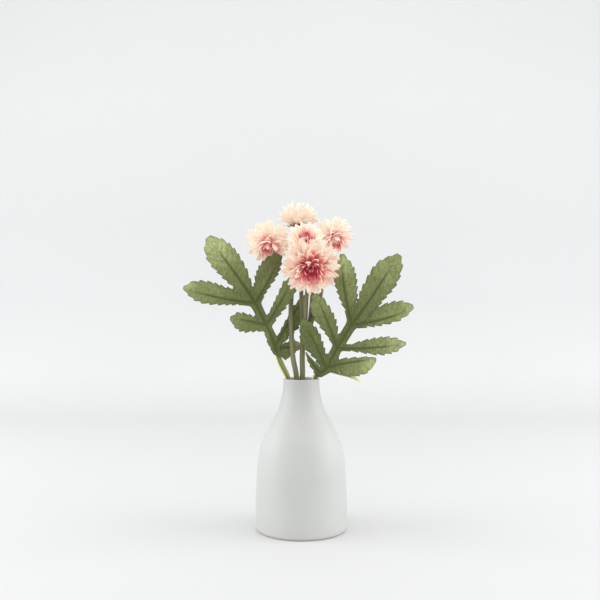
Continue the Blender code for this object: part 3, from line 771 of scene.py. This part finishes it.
def petal_net(length, width, cup, curl, twist):
    """A petal's front and back, as (run, across, lift) in millimetres."""
    share = np.linspace(0, 1, PETAL_ROWS + 1)[:, None]
    edge = np.linspace(-1, 1, PETAL_COLUMNS + 1)
    bend = curl * share**CURL_POWER
    run = np.vstack((0.0, np.cumsum(np.cos(bend[1:]), axis=0))) * length / PETAL_ROWS
    lift = np.vstack((0.0, np.cumsum(np.sin(bend[1:]), axis=0))) * length / PETAL_ROWS
    half = width / 2 * petal_width(share)
    notch = TIP_NOTCH * np.clip(1 - NOTCH_STEEP * np.abs(edge), 0, 1)
    tip = length * share**TIP_POWER * (TIP_ROUND * edge**2 + notch)
    arc = cup * (ROOT_CUP - CUP_OPENS * share)
    angle = arc * edge
    across = half * np.sin(angle) / arc
    rise = half * (1 - np.cos(angle)) / arc
    turn = twist * share
    nets = []
    for face in (0.5, -0.5):
        sideways = across - face * PETAL_THICKNESS * np.sin(angle)
        upwards = rise + face * PETAL_THICKNESS * np.cos(angle)
        turned = sideways * np.cos(turn) - upwards * np.sin(turn)
        raised = sideways * np.sin(turn) + upwards * np.cos(turn)
        nets.append(np.stack((
            run - tip * np.cos(bend) - raised * np.sin(bend),
            turned,
            lift - tip * np.sin(bend) + raised * np.cos(bend),
        ), axis=-1))
    return np.array(nets)


def petal_axes(bloom, turn, rise):
    """The way a bloom faces, the way out of it at a turn, and a petal's own axes."""
    facing, side, up = bloom_frame(bloom)
    outward = side * cos(turn) + up * sin(turn)
    run = outward * cos(rise) + facing * sin(rise)
    lift = facing * cos(rise) - outward * sin(rise)
    return facing, outward, np.array((run, np.cross(facing, outward), lift))


def neighbour_planes(node):
    """Planes half way to each other bloom, as (point, direction away)."""
    middles = {
        name: np.array(bloom["heart"]) + bloom_frame(bloom)[0] * bloom["radius"] * DOME_SHARE
        for name, bloom in BLOOMS.items()
    }
    own, middle = BLOOMS[node], middles[node]
    planes = []
    for other, bloom in BLOOMS.items():
        if other != node:
            away = middles[other] - middle
            share = own["radius"] / (own["radius"] + bloom["radius"])
            direction = away / np.linalg.norm(away)
            planes.append((middle + away * share - direction * NEIGHBOUR_GAP, direction))
    return planes


def draw_petal(draw, bloom, ring, number, count):
    """One petal of a ring, drawn at random round the ring's own rise and reach."""
    _, rise, reach = RINGS[ring]
    curled = ring == len(LAYERS)
    inward = min(1.0, ring / (len(LAYERS) - 1))
    step = number + 0.5 * (ring % 2) + draw.uniform(-TURN_SPREAD, TURN_SPREAD)
    length = bloom["radius"] * (reach + (1 - reach) * bloom["dome"]) * draw.uniform(*LENGTH_SPREAD)
    wider = SMALL_BLOOM_WIDER if bloom["radius"] < SMALL_BLOOM_RADIUS else 1.0
    width = max(length, SHORTEST_WIDE_PETAL) * PETAL_WIDTH_SHARE * wider
    width *= (1 - INNER_NARROWER * inward) * draw.uniform(*WIDTH_SPREAD)
    spread = RISE_SPREAD + INNER_RISE_SPREAD * inward
    angle = rise + bloom["close_by"] * (1 - inward) + draw.uniform(-spread, spread)
    cup = OUTER_CUP + INNER_CUP * inward + draw.uniform(-CUP_SPREAD, CUP_SPREAD)
    curl = CURLED
    if not curled:
        stray = draw.uniform(-CURL_SPREAD, CURL_SPREAD) * (1 + 2 * inward)
        curl = OUTER_CURL + INNER_CURL * inward + stray
    twist = draw.uniform(-TWIST_SPREAD, TWIST_SPREAD) * (1 + inward)
    shade = draw.uniform(0, 1)
    blush = CURLED_BLUSH if curled else INNER_BLUSH * inward**BLUSH_POWER + OUTER_BLUSH
    blush += draw.uniform(-BLUSH_SPREAD, BLUSH_SPREAD)
    return dict(
        net=petal_net(length, width, cup, curl, twist), turn=tau * step / count, angle=angle,
        shade=shade, blush=blush, root_out=draw.uniform(*CURL_ROOT_SPREAD) if curled else 1.0,
    )


def place_petal(petal, bloom):
    """The petal's points in its bloom, with its root on the core."""
    rise = radians(petal["angle"])
    closed = radians(bloom["close_by"])
    facing, outward, axes = petal_axes(bloom, petal["turn"], rise)
    rise_share = ROOT_RISE_SHARE * max(0.0, sin(rise)) - ROOT_DROP_SHARE * sin(closed)
    steep = max(0.0, sin(rise - radians(STEEP_FROM))) * cos(closed)
    root = np.array(bloom["heart"]) + facing * CORE_HALF_HEIGHT * rise_share
    root = root + outward * CORE_RADIUS * ROOT_OUT_SHARE * petal["root_out"] * min(1.0, 2 * steep)
    return root + petal["net"] @ axes


def crosses(places, planes):
    flat = places.reshape(-1, 3)
    return any(((flat - at) @ away).max() > 0 for at, away in planes)


def fit_petal(petal, bloom, planes):
    """The petal's points, made smaller and then pressed up where it would reach a neighbour."""
    places = place_petal(petal, bloom)
    squeezed = 0
    while petal["angle"] < STEEPEST_PETAL and crosses(places, planes):
        if squeezed < MOST_SQUEEZED:
            petal["net"] = petal["net"] * SQUEEZE_SHARE
        else:
            petal["angle"] += PRESSED_STEP
        squeezed += 1
        places = place_petal(petal, bloom)
    return places


def make_bloom(node):
    """Thin cloth petals in many layers round a small core."""
    bloom = BLOOMS[node]
    draw = random.Random(bloom["seed"])
    planes = neighbour_planes(node)
    build = Build()
    faces = slab_faces(PETAL_ROWS + 1, PETAL_COLUMNS + 1)
    net_shape = (2, PETAL_ROWS + 1, PETAL_COLUMNS + 1)
    along = np.broadcast_to(np.linspace(0, 1, PETAL_ROWS + 1)[:, None], net_shape).ravel()
    across = np.broadcast_to(np.linspace(-1, 1, PETAL_COLUMNS + 1), net_shape).ravel()
    fewer = SMALL_BLOOM_FEWER if bloom["radius"] < SMALL_BLOOM_RADIUS else 0
    for ring, (most, _, _) in enumerate(RINGS):
        count = max(FEWEST_PETALS, most - fewer)
        for number in range(count):
            petal = draw_petal(draw, bloom, ring, number, count)
            places = fit_petal(petal, bloom, planes)
            tints = {tint: petal[tint] for tint in ("blush", "shade")}
            build.add(places, faces, along=along, across=across, **tints)
    build.make(node + "_petals", petal_finish(node), node)


def bloom_ring(bloom, middle, radius):
    """A ring of points across the way a bloom faces."""
    _, side, up = bloom_frame(bloom)
    return [middle + radius * (side * cos(t) + up * sin(t)) for t in ring_turns(STEM_SIDES)]


def make_cores(material):
    """The small dark core that each bloom's petals are fixed to."""
    for node, bloom in BLOOMS.items():
        facing = bloom_frame(bloom)[0]
        rings = []
        for tilt in np.linspace(CORE_POLE, pi - CORE_POLE, CORE_ROWS):
            middle = np.array(bloom["heart"]) + facing * -CORE_HALF_HEIGHT * cos(tilt)
            rings.append(bloom_ring(bloom, middle, CORE_RADIUS * sin(tilt)))
        faces = ring_faces(CORE_ROWS, STEM_SIDES)
        piece(node + "_core", np.reshape(rings, (-1, 3)), faces, material)


def add_cup(build, bloom, cup_top):
    """The green cup under a bloom."""
    facing = bloom_frame(bloom)[0]
    rings = [
        bloom_ring(bloom, cup_top + facing * (height - CUP_HEIGHT), max(radius, SMALLEST_RING))
        for radius, height in CUP_PROFILE
    ]
    build.add(rings, ring_faces(len(rings), STEM_SIDES), green=CUP_GREEN)


def add_sepals(build, bloom, cup_top):
    """The ring of small green sepals on a cup."""
    net = petal_net(**SEPAL)
    faces = slab_faces(PETAL_ROWS + 1, PETAL_COLUMNS + 1)
    for k in range(SEPALS):
        facing, outward, axes = petal_axes(bloom, tau * k / SEPALS, radians(SEPAL_RISE))
        root = cup_top - facing * SEPAL_DROP + outward * SEPAL_OUT
        build.add(root + net @ axes, faces, green=CUP_GREEN)


def make_stems():
    """Stems in plastic covers, with a cup and sepals under each bloom."""
    build = Build()
    runs = [
        (MAIN_STEM, (MAIN_RADIUS, MAIN_RADIUS)),
        (LEFT_ARM, (ARM_RADIUS, ARM_RADIUS - STEM_TAPER)),
        (RIGHT_ARM, (ARM_RADIUS, ARM_RADIUS)),
    ]
    for bloom in BLOOMS.values():
        facing = bloom_frame(bloom)[0]
        cup_top = np.array(bloom["heart"]) - facing * (CORE_HALF_HEIGHT + CUP_GAP)
        end = cup_top - facing * (CUP_HEIGHT - TWIG_IN_CUP)
        runs.append(((*bloom["twig"], tuple(end)), (TWIG_RADIUS, TWIG_RADIUS - STEM_TAPER)))
        add_cup(build, bloom, cup_top)
        add_sepals(build, bloom, cup_top)
    for route, radii in runs:
        build.add(*tube(route, stem_section(radii, ridge=STEM_RIDGE), per_span=8))
    build.make("flower_stems", stem_finish(), "stem")


def make_stalks(material):
    """The grooved leaf stalks, the right one with its spike."""
    turns = ring_turns(STEM_SIDES)
    # Painted shade in the groove and a painted highlight along one edge, round each ring.
    groove = [fade_round(turn, GROOVE_TURN, GROOVE_SHADE_WIDTH) for turn in turns]
    pale = [fade_round(turn, HIGHLIGHT_TURN, HIGHLIGHT_WIDTH) for turn in turns]
    for name, (route, radii) in STALKS.items():
        build = Build()
        section = stem_section(radii, wider=STALK_WIDER, groove=GROOVE_DEPTH)
        rings, faces = tube(route, section, per_span=5)
        build.add(rings, faces, groove=np.tile(groove, len(rings)), pale=np.tile(pale, len(rings)))
        if name == "right":
            rings, faces = tube(SPIKE, stem_section(SPIKE_RADII), per_span=6)
            paler = np.repeat(np.linspace(0, 1, len(rings)) ** SPIKE_PALE_POWER, STEM_SIDES)
            build.add(rings, faces, pale=paler)
        build.make(f"stalk_{name}", material, f"leaf_stalk_{name}")


def arch(share):
    """0 at both ends of a lobe and 1 in its middle."""
    return 4 * share * (1 - share)


class Lobe:
    """One lobe of a leaf: its outline, depth and rib over the (x, z) plane."""

    def __init__(self, shape, number):
        self.shape = shape
        base, tip = np.array(shape["base"]), np.array(shape["tip"])
        self.base, self.depths = base[[0, 2]], (base[1], tip[1])
        along = tip[[0, 2]] - self.base
        self.length = np.linalg.norm(along)
        self.along = along / self.length
        self.left = np.array((-self.along[1], self.along[0]))
        self.phase = number * LOBE_PHASE

    def local(self, x, z):
        """Share of the length from the base, and millimetres out to the left."""
        from_base = np.stack((x - self.base[0], z - self.base[1]), axis=-1)
        return from_base @ self.along / self.length, from_base @ self.left

    def half_width(self, share, side):
        """The cut edge on one side, with its teeth pointing to the tip."""
        shares, outs = zip(*self.shape[side])
        fine = np.linspace(0, 1, OUTLINE_STEPS)
        padded = np.pad(np.interp(fine, shares, outs), OUTLINE_BLUR, mode="edge")
        blur = np.ones(2 * OUTLINE_BLUR + 1) / (2 * OUTLINE_BLUR + 1)
        out = np.interp(share, fine, np.convolve(padded, blur, "valid"))
        shift = LEFT_SHIFT if side == "left" else 0.0
        uneven = share + TOOTH_UNEVEN * np.sin(UNEVEN_WAVES * share + self.phase + shift)
        tooth = (uneven - FIRST_TOOTH) / (LAST_TOOTH - FIRST_TOOTH) * self.shape["teeth"]
        left_of_tooth = 1 - (tooth - np.floor(tooth))
        notch = np.where(tooth > 0, TOOTH_DEPTH * left_of_tooth**TOOTH_POWER, 0.0)
        return out - notch * np.clip(out / FULL_TOOTH_WIDTH, LEAST_TOOTH, 1)

    def outside(self, x, z):
        """How far a point lies outside the cut edge; negative on the cloth."""
        share, out = self.local(x, z)
        left, right = self.half_width(share, "left"), self.half_width(share, "right")
        beside = np.where(out > 0, out - left, -out - right)
        past_ends = np.maximum((share - 1) * self.length, -share * self.length - BEHIND_BASE)
        return np.maximum(beside, past_ends)

    def depth(self, x, z):
        """Depth of the cloth: a bowed line from base to tip, with sides that fall back."""
        share, out = self.local(x, z)
        share = np.clip(share, -DEPTH_PAST_ENDS, 1 + DEPTH_PAST_ENDS)
        line = self.depths[0] + (self.depths[1] - self.depths[0]) * share
        wave = WAVE_DEPTH * np.sin(share * self.length / WAVE_LENGTH + self.phase)
        wave = wave * np.abs(out) / WAVE_OUT
        return line - self.shape["bow"] * arch(share) + KEEL * np.abs(out) + wave

    def rib(self, x, z):
        """The pressed rib, 1 on its line and fading out to both sides and to the tip."""
        share, out = self.local(x, z)
        away = np.abs(out - self.shape["bend"] * arch(share))
        thin = np.clip(1 - share / RIB_REACH, 0, 1)
        wide = RIB_HALF_WIDTH * (RIB_THINNEST + (1 - RIB_THINNEST) * thin)
        on = np.clip(thin * RIB_TIP_STEEP, 0, 1) * (share > RIB_FROM)
        return on * np.exp(-((away / wide) ** 2))

    def vein(self, x, z):
        """Faint side veins that run out to the teeth."""
        share, out = self.local(x, z)
        pitch = (LAST_TOOTH - FIRST_TOOTH) * self.length / self.shape["teeth"]
        phase = (share * self.length - VEIN_SLANT * np.abs(out)) / pitch
        away = np.abs(phase - np.round(phase)) * pitch
        line = np.exp(-((away / VEIN_HALF_WIDTH) ** 2))
        line = line * np.clip(share * VEIN_FOOT_STEEP, 0, 1)
        return line * np.clip((1 - share) * VEIN_TIP_STEEP, 0, 1)


def rib_line(x, z, rib, widths):
    """Distances outside a band along the middle rib and from its line, and its depth."""
    nodes = np.array(rib)
    outside = np.full(x.shape, np.inf)
    line = np.full(x.shape, np.inf)
    depth = np.zeros(x.shape)
    for start, stop, wide, wide_next in zip(nodes, nodes[1:], widths, widths[1:]):
        span = stop[[0, 2]] - start[[0, 2]]
        share = ((x - start[0]) * span[0] + (z - start[2]) * span[1]) / (span @ span)
        share = np.clip(share, 0, 1)
        away = np.hypot(x - start[0] - span[0] * share, z - start[2] - span[1] * share)
        here = away - (wide + (wide_next - wide) * share)
        depth = np.where(here < outside, start[1] + (stop[1] - start[1]) * share, depth)
        outside = np.minimum(outside, here)
        line = np.minimum(line, away)
    return outside, line, depth


def cloth_net(outside, low, high):
    """A net of points and faces over the area where outside(x, z) is negative."""
    xs = np.arange(low[0], high[0], CLOTH_CELL)
    zs = np.arange(low[1], high[1], CLOTH_CELL)
    field = outside(*np.meshgrid(xs, zs, indexing="ij"))
    inside = field < 0
    touched = inside[:-1, :-1] | inside[1:, :-1] | inside[1:, 1:] | inside[:-1, 1:]
    points, known, faces = [], {}, []

    def number(key, x, z):
        if key not in known:
            known[key] = len(points)
            points.append((x, z))
        return known[key]

    for i, j in zip(*np.nonzero(touched)):
        corners = ((i, j), (i + 1, j), (i + 1, j + 1), (i, j + 1))
        face = []
        for here, after in zip(corners, corners[1:] + corners[:1]):
            if inside[here]:
                face.append(number(here, xs[here[0]], zs[here[1]]))
            if inside[here] != inside[after]:
                first, last = min(here, after), max(here, after)
                t = field[first] / (field[first] - field[last])
                x = xs[first[0]] + (xs[last[0]] - xs[first[0]]) * t
                z = zs[first[1]] + (zs[last[1]] - zs[first[1]]) * t
                face.append(number((first, last), x, z))
        faces.append(tuple(face))
    return np.array(points), faces


def thicken(points, faces, thickness):
    """A closed slab from one net: its front, its back and a wall round each edge."""
    count = len(points)
    half = np.array((0, thickness / 2, 0))
    solid = faces + [tuple(k + count for k in reversed(face)) for face in faces]
    sides = {(a, b) for face in faces for a, b in zip(face, face[1:] + face[:1])}
    solid += [(b, a, a + count, b + count) for a, b in sides if (b, a) not in sides]
    return np.vstack((points - half, points + half)), solid


class Sheet:
    """One cut sheet of cloth: lobes, grown together along the rib where it has widths."""

    def __init__(self, lobes, rib, widths):
        self.lobes, self.rib, self.widths = lobes, rib, widths

    def parts(self, x, z):
        """Distance outside each lobe and the band along the rib, and their depths."""
        outsides = [lobe.outside(x, z) for lobe in self.lobes]
        depths = [lobe.depth(x, z) for lobe in self.lobes]
        if self.widths:
            band, _, band_depth = rib_line(x, z, self.rib, self.widths)
            outsides.append(band)
            depths.append(band_depth)
        return np.array(outsides), np.array(depths)

    def outside(self, x, z):
        """Distance outside the sheet, with a little web where two lobes meet."""
        outsides = self.parts(x, z)[0]
        nearest = outsides.min(axis=0)
        return nearest - WEB * np.log(np.exp(-(outsides - nearest) / WEB).sum(axis=0))

    def net(self):
        corners = np.array([lobe.shape[end] for lobe in self.lobes for end in ("base", "tip")])[:, [0, 2]]
        return cloth_net(self.outside, corners.min(axis=0) - NET_MARGIN, corners.max(axis=0) + NET_MARGIN)

    def ribs(self, x, z):
        """The lobes' ribs together with the leaf's middle rib."""
        ribs = np.array([lobe.rib(x, z) for lobe in self.lobes])
        line = rib_line(x, z, self.rib, [0.0] * len(self.rib))[1]
        return np.maximum(ribs.max(axis=0), np.exp(-((line / MIDRIB_HALF_WIDTH) ** 2)))

    def of_lobes(self, key, missing):
        """A value of each lobe, as a column."""
        return np.array([lobe.shape.get(key, missing) for lobe in self.lobes])[:, None]

    def add_to(self, build):
        net, faces = self.net()
        x, z = net.T
        outsides, depths = self.parts(x, z)
        weights = np.exp(-np.clip(outsides - outsides.min(axis=0), 0, BLEND_REACH) / BLEND_WIDTH)
        weights /= weights.sum(axis=0)
        depth = (weights * depths).sum(axis=0)
        weights = weights[: len(self.lobes)]
        ribs = self.ribs(x, z)
        veins = (weights * np.array([lobe.vein(x, z) for lobe in self.lobes])).sum(axis=0)
        shares = np.array([np.clip(lobe.local(x, z)[0], 0, 1) for lobe in self.lobes])
        browned_and_shaded = np.clip((shares - BROWN_AND_SHADE_FROM) * BROWN_AND_SHADE_STEEP, 0, 1)
        layers = dict(
            rib=ribs,
            vein=veins,
            edge=np.exp(-((self.outside(x, z) / EDGE_WIDTH) ** 2)),
            reach=(weights * shares * self.of_lobes("fade", 1.0)).sum(axis=0),
            brown=(weights * self.of_lobes("brown", 0.0) * browned_and_shaded).sum(axis=0),
        )
        cloth = np.stack((x, depth - RIB_RISE * ribs - VEIN_RISE * veins, z), axis=-1)
        points, solid = thicken(cloth, faces, CLOTH_THICKNESS)
        build.add(points, solid, **{name: np.tile(values, 2) for name, values in layers.items()})


def make_leaf(name, node, shapes, rib, widths, material):
    """Lobes cut from one sheet, lobes that stand apart, and a rod behind the rib."""
    lobes = [Lobe(shape, k) for k, shape in enumerate(shapes)]
    build = Build()
    Sheet([lobe for lobe in lobes if not lobe.shape.get("apart")], rib, widths).add_to(build)
    for lobe in lobes:
        if lobe.shape.get("apart"):
            Sheet([lobe], rib, None).add_to(build)
    behind = np.array(rib) + (0, ROD_BEHIND, 0)
    rod = tube(behind, stem_section(ROD_RADII), per_span=6)
    build.add(*rod, rib=ROD_SHADE, reach=ROD_SHADE)
    build.make(name, material, node)


def make_stage():
    """A pale floor that turns up into a wall behind, with painted light and shade over its height."""
    bend = [
        (STAGE_BEND_FROM + STAGE_BEND * sin(t), STAGE_BEND * (1 - cos(t)))
        for t in np.linspace(0, pi / 2, STAGE_BEND_ROWS)
    ]
    rows = [(STAGE_FRONT, 0.0), *bend, (STAGE_BEND_FROM + STAGE_BEND, STAGE_TOP)]
    points = [(x, y, z) for y, z in rows for x in (-STAGE_HALF_WIDTH, STAGE_HALF_WIDTH)]
    faces = [(2 * k, 2 * k + 1, 2 * k + 3, 2 * k + 2) for k in range(len(rows) - 1)]
    look = Finish("studio_paper", 0.9)
    # Painted light and shade: the paper's grey changes with height.
    tone = look.ramp(look.height(), PAPER_SHADE_BY_HEIGHT)
    look.colour(look.mix(look.noise(3), tone, "#d5d5d5"))
    mesh = smooth_mesh("studio_sweep", points, faces, look.material)
    put("studio_sweep", mesh)


def make_light(name, place, target, size, power):
    light = bpy.data.lights.new(name, "AREA")
    light.shape = "RECTANGLE"
    light.size, light.size_y = size
    light.energy = power
    away = Vector(target) - Vector(place)
    put(name, light, place, away.to_track_quat("-Z", "Y").to_euler())


def make_world():
    """Even pale light from all round."""
    world = bpy.data.worlds.new("studio")
    world.use_nodes = True
    background = world.node_tree.nodes["Background"]
    background.inputs["Color"].default_value = linear(WORLD_COLOUR)
    background.inputs["Strength"].default_value = WORLD_STRENGTH
    bpy.context.scene.world = world


def make_camera():
    camera = bpy.data.cameras.new("camera")
    camera.lens = CAMERA_LENS
    camera.sensor_width = CAMERA_SENSOR
    camera.clip_start = CAMERA_CLIP
    place = Vector(CAMERA_PLACE) * MM
    bpy.context.scene.camera = put("camera", camera, place, (radians(90), 0, 0))
    bpy.context.scene.view_settings.view_transform = "Standard"


make_camera()
make_world()
for light_values in LIGHTS:
    make_light(*light_values)
make_stage()
make_vase()
make_stems()
make_stalks(stalk_finish())
cloth = leaf_finish()
make_leaf("left_leaf_cloth", "leaf_left", LEFT_LOBES, LEFT_RIB, LEFT_WEB, cloth)
make_leaf("right_leaf_cloth", "leaf_right", RIGHT_LOBES, RIGHT_RIB, RIGHT_WEB, cloth)
for bloom_node in BLOOMS:
    make_bloom(bloom_node)
make_cores(core_finish())
